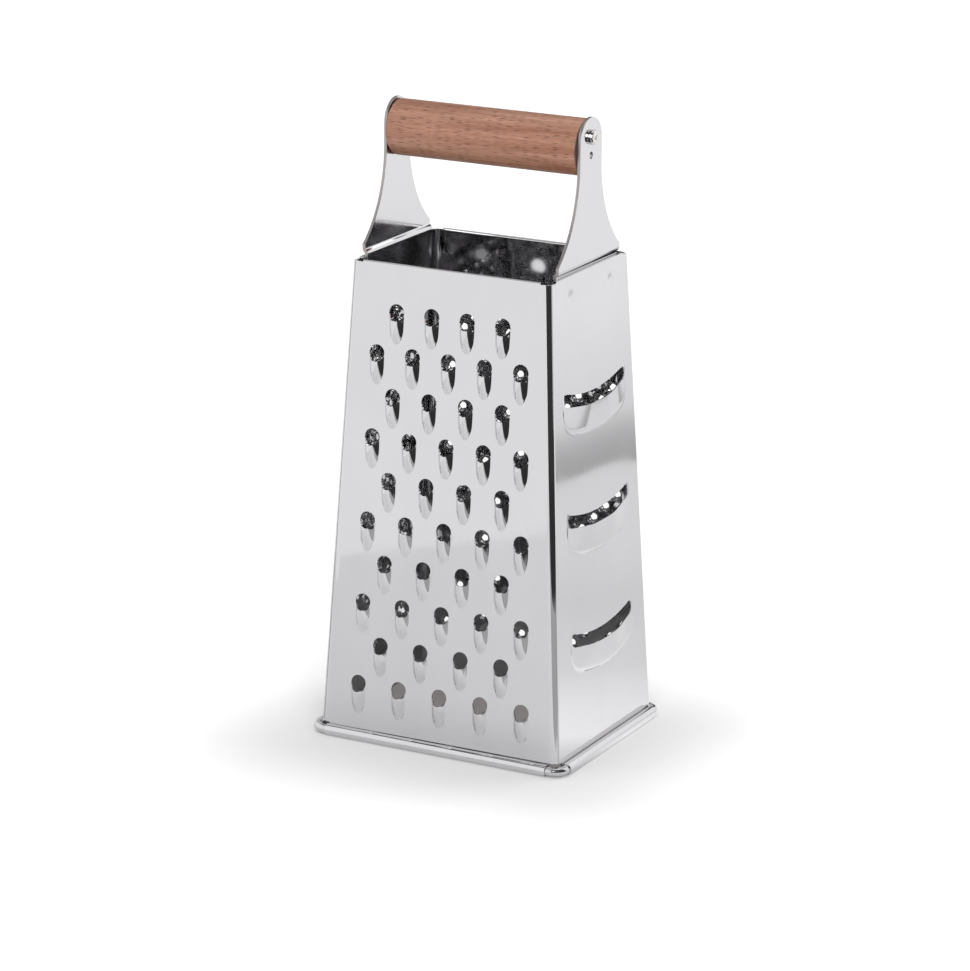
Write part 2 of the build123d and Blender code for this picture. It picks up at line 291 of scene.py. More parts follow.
@dataclass(frozen=True)
class BrightSteel:
    """Cold-rolled stainless, bright finish: a mirror with a faint grain and handling marks."""

    name: str
    colour: str = "#d3d2d4"
    roughness: float = 0.05
    along_x: bool = False  # whether the grain runs along X instead of upright
    waviness: float = 0.0
    bulges: tuple[tuple[float, float, float, float], ...] = ()  # Y, Z, radius and height in millimetres
    cut_edges: bool = False

    def build(self) -> Material:
        """Build the material.

        Returns:
            The material.
        """
        n = Nodes(bpy.data.materials.new(self.name))
        # rolling grain: streaks a tenth of a millimetre wide and 3 mm long that dull the mirror one way
        fine, long = 9.0, 0.35
        grain = n.per_mm(*((long, fine, fine) if self.along_x else (fine, fine, long)))
        streak = n.add("TexNoise", {"Vector": grain, "Scale": 1, "Detail": 3, "Roughness": 0.6})
        # wiping marks: patches 20 to 30 mm across that are a little duller
        smear = n.add("TexNoise", {"Vector": n.per_mm(0.05, 0.05, 0.03), "Scale": 1, "Detail": 4.0,
                                   "Roughness": 0.55, "Distortion": 0.4})
        dull = n.add("MapRange", smear, 0.35, 0.7, self.roughness * 0.8, self.roughness * 1.35)
        rough = n.add("Math", streak, 0.02, dull, operation="MULTIPLY_ADD")
        bright = linear(self.colour)
        tint = n.add("ValToRGB", smear,
                     stops=[(0.3, tuple(c * 0.97 for c in bright[:3]) + (1.0,)), (0.7, bright)])
        # the sheet is never quite flat after pressing: waves about 80 mm long that bend what it mirrors
        wave = n.add("TexNoise", {"Vector": n.per_mm(0.013, 0.013, 0.011), "Scale": 1, "Detail": 1.0,
                                  "Roughness": 0.25})
        relief = n.add("Bump", {"Strength": 1.0, "Distance": self.waviness * MM, "Height": wave})
        # pressing draws the sheet out round each slot: soft bulges, which curve the edges of reflections
        for y, z, radius, height in self.bulges:
            where = n.add("Mapping", {"Vector": n.per_mm(0, 1, 1), "Location": (0, -y, -z)})
            far = n.add("VectorMath", where, operation="LENGTH").outputs["Value"]
            bell = n.add("MapRange", far, radius, 0.0, interpolation_type="SMOOTHERSTEP")
            relief = n.add("Bump", {"Strength": 1.0, "Distance": height * MM, "Height": bell,
                                    "Normal": relief})
        relief = n.add("Bump", {"Strength": 0.35, "Distance": 0.0004 * MM, "Height": streak,
                                "Normal": relief})
        base, dullness = tint.outputs[0], rough.outputs[0]
        if self.cut_edges:
            # sheared edges, which face along the strip's plane, are torn: darker and much duller
            facing = n.add("SeparateXYZ", n.add("TexCoord").outputs["Normal"]).outputs["X"]
            flat = n.add("Math", facing, operation="ABSOLUTE")
            edge = n.add("MapRange", flat, 0.45, 0.25)
            base = n.add("Mix", {0: edge, 6: tint, 7: linear("#a5a2a0")}, data_type="RGBA").outputs[2]
            dullness = n.add("Math", edge, 0.3, rough, operation="MULTIPLY_ADD").outputs[0]
        shader = n.add("BsdfPrincipled", {"Base Color": base, "Metallic": 1.0, "Roughness": dullness,
                                          "Normal": relief})
        n.add("OutputMaterial", shader)
        return n.owner


@dataclass(frozen=True)
class TurnedBeech:
    """Steamed beech turned along its grain, which runs along X, with a thin satin lacquer."""

    name: str = "turned_beech"
    pale: str = "#c19179"
    deep: str = "#9c6850"
    fleck: str = "#5a2f22"
    # colour of the painted shade at the bar's ends, where they meet the brackets
    end_shade: str = "#2c1712"

    def build(self) -> Material:
        """Build the material.

        Returns:
            The material.
        """
        n = Nodes(bpy.data.materials.new(self.name))
        # growth rings: soft bands 3 to 5 mm broad and 80 mm long that run along the bar
        band = n.add("TexNoise", {"Vector": n.per_mm(0.012, 0.34, 0.22), "Scale": 1, "Detail": 4.0,
                                  "Roughness": 0.6, "Distortion": 0.6})
        body = n.add("ValToRGB", band, stops=[(0.3, linear(self.deep)), (0.66, linear(self.pale))])
        # fibres: streaks 0.2 mm thin and 6 mm long that give the eye the direction of the grain
        fibre = n.add("TexNoise", {"Vector": n.per_mm(0.16, 5.0, 5.0), "Scale": 1, "Detail": 4.0,
                                   "Roughness": 0.65})
        fibre_tint = n.add("ValToRGB", fibre, stops=[(0.34, (0.76, 0.73, 0.71, 1.0)), (0.66, grey(1.12))])
        wood = n.add("Mix", {0: 1.0, 6: body, 7: fibre_tint}, data_type="RGBA", blend_type="MULTIPLY")
        # ray flecks: dark spindles 1 to 3 mm long and a tenth wide, the mark of beech
        cells = n.add("TexVoronoi", {"Vector": n.per_mm(0.24, 3.1, 3.1), "Scale": 1.0, "Randomness": 1.0},
                      feature="F1")
        spot = n.add("MapRange", cells.outputs["Distance"], 0.22, 0.42, 1.0, 0.0)
        lot = n.add("SeparateXYZ", cells.outputs["Color"])
        drawn = n.add("MapRange", lot, 0.3, 0.7, 0.0, 0.95)
        chosen = n.add("Math", spot, drawn, operation="MULTIPLY")
        flecked = n.add("Mix", {0: chosen, 6: wood.outputs[2], 7: linear(self.fleck)}, data_type="RGBA")
        # painted shade: the ends are darkened where they meet the brackets, for the shadow in the gap
        across = n.add("SeparateXYZ", n.add("TexCoord").outputs["Object"])
        across = n.add("Math", across, operation="ABSOLUTE")
        rim = n.add("MapRange", across, 40.4 * MM, 40.9 * MM, 0.0, 0.85)
        colour = n.add("Mix", {0: rim, 6: flecked.outputs[2], 7: linear(self.end_shade)}, data_type="RGBA")
        # open pores: fibres stand 0.03 mm high and the flecks lie between them
        height = n.add("Math", fibre, spot, operation="SUBTRACT")
        bump = n.add("Bump", {"Strength": 0.35, "Distance": 0.03 * MM, "Height": height})
        rough = n.add("MapRange", fibre, 0.3, 0.7, 0.42, 0.55)
        shader = n.add("BsdfPrincipled", {"Base Color": colour.outputs[2], "Roughness": rough,
                                          "Coat Weight": 0.12, "Coat Roughness": 0.3, "Normal": bump})
        n.add("OutputMaterial", shader)
        return n.owner


# ---- the body's own sizes

class Side(Enum):
    """The four walls, by the way that each one looks, in degrees from the front."""

    FRONT = 0.0
    BACK = 180.0
    LEFT = -90.0
    RIGHT = 90.0

    @property
    def wrapped(self) -> bool:
        """Whether the wall's edges turn round the corners."""
        return self in (Side.FRONT, Side.BACK)


@dataclass
class Body:
    """Sizes of the tapered box that the four walls share, in metres."""

    height: float = 192.0 * MM
    base: Point = (105.8 * MM, 82.7 * MM)
    top: Point = (85.7 * MM, 65.6 * MM)
    sheet: float = 0.5 * MM
    # the fold at the rim: its radius, its leg inside and how far it stops short of the corner
    hem_r: float = 0.8 * MM
    hem_leg: float = 5.0 * MM
    hem_end: float = 4.6 * MM
    # the foot: wire, the curl round it, the notch over its corners and the flat it stands on
    wire_r: float = 1.8 * MM
    wire_bend: float = 4.4 * MM
    curl_mouth: float = 0.3 * MM
    curl_end: float = 3.3 * MM
    notch: float = 0.6 * MM
    foot_flat: float = 1.2 * MM
    # wrapped corners: a soft bend, then a tight one, then a flange; side walls stand back from them
    soft_r: float = 4.0 * MM
    tight_r: float = 0.9 * MM
    flange: float = 6.0 * MM
    set_back: float = 1.4 * MM

    @property
    def curl_r(self) -> float:
        """Outer radius of the curl."""
        return self.wire_r + self.sheet

    @property
    def foot_z(self) -> float:
        """Height of the foot wire's axis."""
        return sqrt(self.curl_r ** 2 - (self.foot_flat / 2) ** 2)

    @property
    def notch_z(self) -> float:
        """Height where a wall's corner ends above the wire."""
        return self.foot_z + self.wire_r + self.notch

    def lean(self, side: Side) -> float:
        """How far a wall leans in, in radians."""
        axis = 1 if side.wrapped else 0
        return atan((self.base[axis] - self.top[axis]) / 2 / self.height)

    def half(self, axis: int, z: float) -> float:
        """Half the outer size along X (0) or Y (1) at a height."""
        return blend(self.base[axis], self.top[axis], z / self.height) / 2

    def across(self, side: Side, z: float) -> float:
        """Half a wall's width over the corners at a height."""
        return self.half(0 if side.wrapped else 1, z)

    def reach(self, side: Side, z: float) -> float:
        """How far a wall's outer face stands from the middle at a height."""
        return self.half(1 if side.wrapped else 0, z)

    def up_slope(self, side: Side, z: float) -> float:
        """Turn a height into a way up a wall's slope."""
        return z / cos(self.lean(side))

    def curl_centre(self, side: Side) -> float:
        """Way up the slope to the curl's centre."""
        return self.up_slope(side, self.foot_z - self.wire_r * sin(self.lean(side)))

    def fold_centre(self, side: Side) -> float:
        """Way up the slope to the rim fold's centre."""
        return self.up_slope(side, self.height - self.hem_r + self.hem_r * sin(self.lean(side)))

    def wire_reach(self, side: Side) -> float:
        """How far the wire's axis stands from the middle outside a wall."""
        lean = self.lean(side)
        return self.reach(side, 0) - self.curl_centre(side) * sin(lean) + self.wire_r * cos(lean)

    def frame_of(self, side: Side) -> Matrix:
        """Place a wall's own frame (across, up the slope, outward) in the object's.

        Args:
            side: Which wall.
        Returns:
            The matrix from the one to the other.
        """
        lean = self.lean(side)
        local = Matrix(((1, 0, 0, 0), (0, sin(lean), -cos(lean), -self.reach(side, 0)),
                        (0, cos(lean), sin(lean), 0), (0, 0, 0, 1)))
        return Matrix.Rotation(radians(side.value), 4, "Z") @ local


# ---- pressed patches

@dataclass
class Patch:
    """A pressed spot of sheet: rings of points from a hole's edge, over its foot, to a flat outline."""

    name: str
    shares: Sequence[float]
    filled: bool = False

    def curves(self) -> list[list[Point]]:
        """Closed curves of equally many points that the rings lie between, the hole's first."""
        raise NotImplementedError

    def rise(self, x: float, y: float, share: float) -> float:
        """Height of the sheet at a place."""
        raise NotImplementedError

    def rings(self) -> list[list[Vector]]:
        """Lay the rings between the curves and lift them.

        Returns:
            The rings, the hole's first.
        """
        curves = self.curves()
        rings = []
        for share in self.shares:
            step = min(int(share), len(curves) - 2)
            ring = []
            for (ax, ay), (bx, by) in zip(curves[step], curves[step + 1]):
                x, y = blend(ax, bx, share - step), blend(ay, by, share - step)
                ring.append(Vector((x, y, self.rise(x, y, share))))
            rings.append(ring)
        return rings

    def build(self) -> Object:
        """Extrude the patch from its hole outwards.

        Returns:
            The patch, its outer points in the vertex group rim.
        """
        piece = loops(self.name, self.rings(), self.filled)
        group = piece.vertex_groups.new(name="rim")
        group.add([v.index for v in piece.data.vertices if v.select], 1.0, "REPLACE")
        return piece


@dataclass
class Scoop(Patch):
    """Coarse cutter: a punched hole whose lower lip is pressed out into a long half bullet."""

    name: str = "scoop"
    shares: Sequence[float] = (0.0, 0.04, 0.09, 0.15, 0.22, 0.3, 0.38, 0.46, 0.54, 0.62, 0.7, 0.77, 0.83,
                               0.88, 0.92, 0.96, 1.0, 1.4, 2.0)
    upper: int = 14
    lower: int = 34
    hole_r: float = 3.25 * MM
    foot_r: float = 3.75 * MM
    rim_r: float = 4.6 * MM
    length: float = 12.3 * MM
    belly: float = 3.2 * MM
    half: float = 2.95 * MM
    lift: float = 2.1 * MM
    soft: float = 0.8 * MM

    def oval(self, radius: float, down: float) -> list[Point]:
        """Draw a circle that reaches further down, its points closest together there.

        Args:
            radius: Its radius above and at the sides.
            down: How far it reaches down.
        Returns:
            The points.
        """
        turns = [pi * i / self.upper for i in range(self.upper)]
        turns += [pi + pi * i / self.lower for i in range(self.lower)]
        return [(radius * cos(a), (down if sin(a) < 0 else radius) * sin(a)) for a in turns]

    def curves(self) -> list[list[Point]]:
        """The hole, the lip's foot and the outline."""
        return [self.oval(self.hole_r, self.hole_r), self.oval(self.foot_r, self.length + 0.4 * MM),
                self.oval(self.rim_r, self.length + 1.1 * MM)]

    def rise(self, x: float, y: float, share: float) -> float:
        """Height of the half bullet, a round arch on a crest that sinks, rounded into the flat sheet.

        Args:
            x: Place across.
            y: Place up the slope.
            share: The ring's share of the way from the hole to the foot and the outline.
        Returns:
            The height.
        """
        down = -y
        if down <= 0 or share >= 0.99:
            return 0.0
        half = self.half
        if down > self.belly:
            half *= max(1 - ((down - self.belly) / (self.length - self.belly)) ** 2.6, 0.0) ** 0.5
        if down < self.hole_r:
            crest = self.lift * sin(pi / 2 * down / self.hole_r) ** 1.25
        else:
            crest = self.lift * (1 - ((down - self.hole_r) / (self.length - self.hole_r)) ** 2)
        if half < 0.1 * MM or crest < 0.02 * MM:
            return 0.0
        radius = (half * half + crest * crest) / (2 * crest)
        level = (sqrt(radius * radius - x * x) if abs(x) < radius else 0.0) - (radius - crest)
        return near_max(level, 0.0, self.soft) if level > -self.soft else 0.0


@dataclass
class Burr(Patch):
    """Small cutter: a punched hole in a raised ring whose edge is torn into teeth."""

    name: str = "burr"
    shares: Sequence[float] = (0.0, 0.3, 0.65, 1.0)
    count: int = 15
    hole_r: float = 1.65 * MM
    ring_r: float = 2.75 * MM
    lift: float = 0.9 * MM
    teeth: int = 5

    def curves(self) -> list[list[Point]]:
        """Draw the torn hole, in and out with its teeth, and the raised ring's foot.

        Returns:
            The two curves.
        """
        torn = []
        for i in range(self.count):
            a = 2 * pi * i / self.count
            r = self.hole_r * (1 + 0.07 * cos(self.teeth * a) + 0.04 * cos(2 * a + 1))
            torn.append((r * cos(a), r * sin(a)))
        return [torn, circle(self.count, self.ring_r)]

    def rise(self, x: float, y: float, share: float) -> float:
        """Height of the burr, steepest at its torn edge."""
        return self.lift * (1 - share) ** 1.6


@dataclass
class Dimple(Patch):
    """Pressed joint: a small round dish that pins the wall to the bracket behind it."""

    name: str = "dimple"
    shares: Sequence[float] = (0.0, 0.1, 0.2, 0.32, 0.46, 0.62, 0.8, 1.0)
    filled: bool = True
    count: int = 28
    flat_r: float = 0.35 * MM
    dish_r: float = 4.6 * MM
    depth: float = 0.62 * MM

    def curves(self) -> list[list[Point]]:
        """The dish's small flat bottom and its soft edge."""
        return [circle(self.count, self.flat_r), circle(self.count, self.dish_r)]

    def rise(self, x: float, y: float, share: float) -> float:
        """Depth of the dish, which fades out softly."""
        return -self.depth * (1 - share) ** 2.6


@dataclass
class Blade(Patch):
    """Slicing cutter: a smiling slot over a raised lip whose edge is ground to a bevel."""

    name: str = "blade"
    shares: Sequence[float] = (0.0, 0.03, 0.07, 0.14, 0.23, 0.33, 0.44, 0.54, 0.63, 0.7, 0.76, 0.81, 0.85,
                               0.89, 0.93, 0.97, 1.0, 1.4, 2.0)
    # points along each long side and round each end
    side: int = 48
    end: int = 9
    # the slot: half its width, how far in its ends begin and out they bulge, its heights, its sag
    half: float = 25.5 * MM
    tip: float = 1.3 * MM
    nose: float = 0.35 * MM
    end_h: float = 5.4 * MM
    mid_h: float = 4.2 * MM
    sag: float = 3.7 * MM
    # how far the blade stands out at its edge, at the slot's ends and over its foot
    lift: float = 2.2 * MM
    end_lift: float = 0.3 * MM
    foot_lift: float = 1.3 * MM
    # the lip's foot: its drop below the edge, its sag, half width and corners, and the flank over it
    drop: float = 11.9 * MM
    foot_sag: float = 6.1 * MM
    foot_half: float = 26.9 * MM
    corner: float = 4.5 * MM
    flank: float = 2.2 * MM
    crease: float = 0.9 * MM
    # how far foot and outline lie round the slot
    over: float = 0.9 * MM
    margin: float = 1.6 * MM
    rim_up: float = 6.0 * MM

    def upper(self, x: float) -> float:
        """Height of the slot's upper edge."""
        return self.end_h / 2 - self.sag * (1 - (x / self.half) ** 2)

    def lower(self, x: float) -> float:
        """Height of the blade's edge."""
        return blend(self.end_h / 2 - self.sag - self.mid_h, -self.end_h / 2, (x / self.half) ** 2)

    def foot(self, x: float) -> float:
        """Height of the lip's foot, rounded up at its corners."""
        past = max(abs(x) - (self.foot_half - self.corner), 0.0) / self.corner
        return (self.lower(0) - self.drop + self.foot_sag * (x / self.foot_half) ** 2
                + self.corner * (1 - sqrt(max(1 - past * past, 0.0))))

    def round_end(self, share: float) -> float:
        """How far the slot's rounded end stands in from its tip, at a share of its height."""
        return self.tip * (1 - (1 - abs(2 * share - 1) ** 3) ** 0.5)

    def along_foot(self, share: float) -> float:
        """Place across of a foot point, those near the corners drawn closer together."""
        past = min((abs(share) - 0.8) / 0.2, 1)
        return self.foot_half * (share if past < 0 else copysign(0.8 + sin(past * pi / 2) * 0.2, share))

    def lines(self) -> list[tuple[Point, Point, Point, float]]:
        """Draw the slot, the lip's foot and the outline, matched point to point, and lift the slot's edge.

        Returns:
            Points along the top, down the left end, along the blade and up the right end, with their lift.
        """
        lines = []
        top, wide, low = self.upper(self.half), self.foot_half + self.margin, self.foot(0) - self.margin
        corner_y = self.foot(self.foot_half)
        for sign in (1, -1):
            for i in range(self.side):
                t = sign * (1 - 2 * (i + 0.5) / self.side)
                x, wall_x, foot_x = t * (self.half - self.tip), t * wide, t * self.foot_half
                if sign > 0:
                    lines.append(((x, self.upper(x)), (foot_x, self.upper(t * self.half) + self.over),
                                  (wall_x, top + 2 * self.over), 0.0))
                    continue
                foot_x = self.along_foot(t)
                # the blade bends up over 36 % of its points from either end
                share = min(min(i + 1, self.side - i) / (self.side * 0.36), 1.0)
                lines.append(((x, self.lower(x)), (foot_x, self.foot(foot_x)),
                              (wall_x, low + self.rim_up * abs(t) ** 3),
                              blend(self.end_lift, self.lift, share * share * (3 - 2 * share))))
            for i in range(self.end):
                t = i / (self.end - 1)
                down = t if sign > 0 else 1 - t
                lines.append(((-sign * (self.half + self.nose - self.round_end(t)), sign * top * (1 - 2 * t)),
                              (-sign * self.foot_half, blend(top + self.over, corner_y, down)),
                              (-sign * wide, blend(top + 2 * self.over, low + self.rim_up, down)),
                              self.end_lift * down ** 1.5))
        return lines

    def rings(self) -> list[list[Vector]]:
        """Lay rings from the slot to the lip's foot, each line of points shaped as roof and flank.

        Returns:
            The rings, the slot's first.
        """
        lines = self.lines()
        rings = []
        for share in self.shares:
            ring = []
            for slot, foot, outline, top in lines:
                start, end, part = (foot, outline, share - 1) if share > 1 else (slot, foot, share)
                level = 0.0
                if top > 0 and share < 1:
                    roof = top * (1 - share * (1 - self.foot_lift / self.lift))
                    flank = hypot(foot[0] - slot[0], foot[1] - slot[1]) * (1 - share) * self.lift / self.flank
                    level = near_max(-near_max(-roof, -flank, self.crease), -0.1 * MM, 0.4 * MM)
                ring.append(Vector((blend(start[0], end[0], part), blend(start[1], end[1], part), level)))
            rings.append(ring)
        return rings


# ---- walls

@dataclass
class Wall:
    """One sheet wall: flat face with its pressed patches, folded rim, rolled foot, wrapped corners."""

    body: Body
    side: Side
    node: str
    steel: Material
    patches: Sequence[tuple[Patch, Sequence[Point]]]

    def edge(self, z: float) -> float:
        """Half the flat face's width at a height.

        Args:
            z: The height.
        Returns:
            From the middle to where the face ends, or to where its corner starts to bend.
        """
        b, half = self.body, sin(radians(45))
        if not self.side.wrapped:
            return b.across(self.side, z) - b.set_back
        slant = b.sheet / cos(b.lean(Side.RIGHT))
        return b.across(self.side, z) - slant - b.soft_r * half - b.tight_r * (1 - half)

    def curl_half(self) -> float:
        """Half the rolled foot's length, which stops short of the corner."""
        b = self.body
        return min(b.across(self.side, b.foot_z) - b.curl_end, self.edge(b.notch_z) - 0.3 * MM)

    def hem_half(self) -> float:
        """Half the rim fold's length, which stops short of the corner too."""
        return self.body.across(self.side, self.body.height) - self.body.hem_end

    def blank(self) -> Object:
        """Draw the flat face's outline, its points in the vertex group rim.

        Returns:
            The outline.
        """
        b = self.body
        low, high = b.up_slope(self.side, b.notch_z), b.fold_centre(self.side)
        curl, hem = self.curl_half(), self.hem_half()
        wide_low, wide_high = self.edge(b.notch_z), self.edge(high * cos(b.lean(self.side)))
        ring = [(wide_low, low), (wide_high, high), (hem, high), (-hem, high), (-wide_high, high),
                (-wide_low, low), (-curl, low), (curl, low)]
        piece = loops(self.node + "_skin", [[Vector((x, y, 0.0)) for x, y in ring]])
        piece.vertex_groups.new(name="rim").add(range(len(ring)), 1.0, "REPLACE")
        return piece

    def perforated(self) -> Object:
        """Lay the patches out on the blank and fill the sheet between them.

        Returns:
            The pierced sheet, flat in the wall's own frame and facing outwards.
        """
        skin = self.blank()
        parts = []
        for patch, places in self.patches:
            master = patch.build()
            for x, y in places:
                copy = master.copy()
                copy.data = master.data.copy()
                bpy.context.scene.collection.objects.link(copy)
                copy.data.transform(Matrix.Translation((x, y, 0.0)))
                parts.append(copy)
            bpy.data.objects.remove(master)
        only(*parts, skin)
        bpy.ops.object.join()
        only(skin)
        mode("EDIT")
        bpy.ops.mesh.select_mode(type="VERT")
        bpy.ops.mesh.select_all(action="DESELECT")
        skin.vertex_groups.active_index = skin.vertex_groups["rim"].index
        bpy.ops.object.vertex_group_select()
        bpy.ops.mesh.fill(use_beauty=True)
        bpy.ops.mesh.select_all(action="SELECT")
        bpy.ops.mesh.normals_make_consistent(inside=False)
        mode("OBJECT")
        if sum(p.normal.z * p.area for p in skin.data.polygons) < 0:
            skin.data.flip_normals()
        return skin

    def bend(self, skin: Object, y: float, half: float, centre: float, arc: Sequence[Point]) -> None:
        """Pull an edge of the flat sheet through the points of a bend.

        Args:
            skin: The pierced sheet.
            y: Where the edge lies up the slope.
            half: Half its length.
            centre: Where the bend's centre lies up the slope.
            arc: The bend's points, up from its centre and outwards.
        """
        pick(skin, lambda co: abs(co.y - y) < HAIR and abs(co.x) < half + HAIR and abs(co.z) < HAIR / 10)
        pull(skin, [lambda co, up=up, out=out: Vector((co.x, centre + up, out)) for up, out in arc])

    def fold(self, skin: Object) -> None:
        """Fold the top edge of the sheet inwards and down.

        Args:
            skin: The pierced sheet.
        """
        b, centre, count = self.body, self.body.fold_centre(self.side), 8
        turns = [pi * i / count for i in range(1, count + 1)]
        arc = [(b.hem_r * sin(a), -b.hem_r * (1 - cos(a))) for a in turns] + [(-b.hem_leg, -2 * b.hem_r)]
        self.bend(skin, centre, self.hem_half(), centre, arc)

    def roll(self, skin: Object) -> None:
        """Roll the bottom edge of the sheet outwards round the foot wire.

        Args:
            skin: The pierced sheet.
        """
        b, count = self.body, 26
        sweep = 2 * pi - acos((b.wire_r - b.curl_mouth) / b.curl_r)
        turns = [pi + sweep * i / count for i in range(count + 1)]
        arc = [(b.wire_r * sin(a), b.wire_r * (1 + cos(a))) for a in turns]
        self.bend(skin, b.up_slope(self.side, b.notch_z), self.curl_half(), b.curl_centre(self.side), arc)

    def corner(self, z: float) -> list[Point]:
        """Draw the level section of a wrapped corner, a soft bend and then a tight one.

        Args:
            z: Height of the section.
        Returns:
            Its points from the flat face on to the flange's end.
        """
        b, half, soft_steps, tight_steps = self.body, radians(45), 6, 5
        x, y = self.edge(z), -b.half(1, z)
        points = []
        for i in range(1, soft_steps + 1):
            a = half * i / soft_steps
            points.append((x + b.soft_r * sin(a), y + b.soft_r * (1 - cos(a))))
        x += (b.soft_r - b.tight_r) * sin(half)
        y += b.soft_r - (b.soft_r - b.tight_r) * cos(half)
        for i in range(1, tight_steps + 1):
            a = half + half * i / tight_steps
            points.append((x + b.tight_r * sin(a), y - b.tight_r * cos(a)))
        points.append((x + b.tight_r, y + b.flange))
        return points

    def wrap(self, skin: Object) -> None:
        """Turn both side edges round the corners and tuck their flanges in.

        Args:
            skin: The wall in the object's frame, as it stands at the front.
        """
        low, high = self.body.notch_z, self.body.fold_centre(self.side) * cos(self.body.lean(self.side))
        ends = {low: self.edge(low), high: self.edge(high)}
        for sign in (1, -1):
            pick(skin, lambda co: any(abs(co.z - z) < 2 * HAIR and abs(co.x - sign * x) < 2 * HAIR
                                      for z, x in ends.items()))
            steps = []
            for (ax, ay), (bx, by) in zip(self.corner(low), self.corner(high)):
                foot, head = Vector((sign * ax, ay, low)), Vector((sign * bx, by, high))
                steps.append(lambda co, foot=foot, head=head: foot if co.z < (low + high) / 2 else head)
            pull(skin, steps)

    def build(self) -> None:
        """Make the wall, stand it in its place and give it its thickness."""
        skin = self.perforated()
        self.fold(skin)
        self.roll(skin)
        turn = Matrix.Rotation(radians(self.side.value), 4, "Z")
        skin.data.transform(turn.inverted() @ self.body.frame_of(self.side))
        if self.side.wrapped:
            self.wrap(skin)
        skin.data.transform(turn)
        finish_with(skin, "SOLIDIFY", thickness=self.body.sheet, offset=-1.0, use_even_offset=False,
                    use_quality_normals=True)
        for vertex in skin.data.vertices:
            vertex.co.z = max(vertex.co.z, 0.0)
        smooth(skin, 40)
        finish_with(skin, "WEIGHTED_NORMAL", keep_sharp=True, weight=100)
        hand_over(skin, self.steel, self.node)


def heights(low: float, pitch: float, count: int) -> list[float]:
    """Heights of evenly spaced rows."""
    return [low + pitch * i for i in range(count)]


def staggered(body: Body, side: Side, rows: Iterable[float], wide: int, share: float) -> list[Point]:
    """Set cutters out in staggered rows that close up as the wall narrows.

    Args:
        body: The body's sizes.
        side: Which wall.
        rows: Heights of the rows.
        wide: Cutters in the lowest row; every other row has one fewer.
        share: Pitch as a share of the wall's half width.
    Returns:
        Places across and up the slope.
    """
    places = []
    for row, z in enumerate(rows):
        count = wide - row % 2
        pitch = share * body.across(side, z)
        places += [((i - (count - 1) / 2) * pitch, body.up_slope(side, z)) for i in range(count)]
    return places


# ---- wire, brackets, handle, screws

@dataclass
class FootWire:
    """Closed wire in the rolled foot, bare at the four corners."""

    body: Body
    steel: Material
    around: int = 20
    bend_steps: int = 10
    play: float = 0.01 * MM

    def build(self) -> None:
        """Extrude a ring round the foot and close it on itself."""
        b, radius = self.body, self.body.wire_r - self.play
        x, y, bend = b.wire_reach(Side.RIGHT), b.wire_reach(Side.FRONT), b.wire_bend
        rings = []
        for quarter, (sx, sy) in enumerate(((1, 1), (-1, 1), (-1, -1), (1, -1))):
            for i in range(self.bend_steps + 1):
                a = radians(90 * (quarter + i / self.bend_steps))
                px, py = sx * (x - bend) + bend * cos(a), sy * (y - bend) + bend * sin(a)
                rings.append([Vector((px + out * cos(a), py + out * sin(a), b.foot_z + up))
                              for out, up in circle(self.around, radius)])
        piece = loops("foot_wire", rings + rings[:1])
        only(piece)
        mode("EDIT")
        bpy.ops.mesh.select_all(action="SELECT")
        bpy.ops.mesh.remove_doubles(threshold=HAIR / 10)
        bpy.ops.mesh.normals_make_consistent(inside=False)
        mode("OBJECT")
        smooth(piece, 40)
        hand_over(piece, self.steel, "base_wire")


@dataclass
class Brackets:
    """The two strip brackets, kept as they are in the frame and dressed."""

    steel: Material

    def build(self) -> None:
        """Weld and soften the edges of both brackets and give them their steel."""
        for name in ("left_bracket", "right_bracket"):
            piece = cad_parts[name]
            piece.data.materials.clear()
            piece.data.materials.append(self.steel)
            weld = piece.modifiers.new("Weld", "WELD")
            weld.merge_threshold = 0.002 * MM
            bevel = piece.modifiers.new("Bevel", "BEVEL")
            bevel.width, bevel.segments, bevel.limit_method = 0.16 * MM, 2, "ANGLE"
            bevel.angle_limit, bevel.harden_normals = radians(50), True
            log.info("%s: dressed", name)


@dataclass
class Bar:
    """Turned beech bar between the brackets."""

    wood: Material
    radius: float = 11.0 * MM
    half: float = 41.2 * MM
    axis_z: float = 238.2 * MM
    edge: float = 1.2 * MM

    def build(self) -> None:
        """Turn the bar from a cylinder and ease both ends."""
        piece = primitive("cylinder", "beech_bar", vertices=96, radius=self.radius, depth=2 * self.half,
                          location=(0, 0, self.axis_z), rotation=(0, pi / 2, 0))
        mode("EDIT")
        bpy.ops.mesh.select_mode(type="EDGE")
        bpy.ops.mesh.select_all(action="DESELECT")
        bpy.ops.mesh.edges_select_sharp(sharpness=radians(60))
        bpy.ops.mesh.bevel(offset=self.edge, segments=5, affect="EDGES")
        mode("OBJECT")
        smooth(piece, 35)
        hand_over(piece, self.wood, "handle")


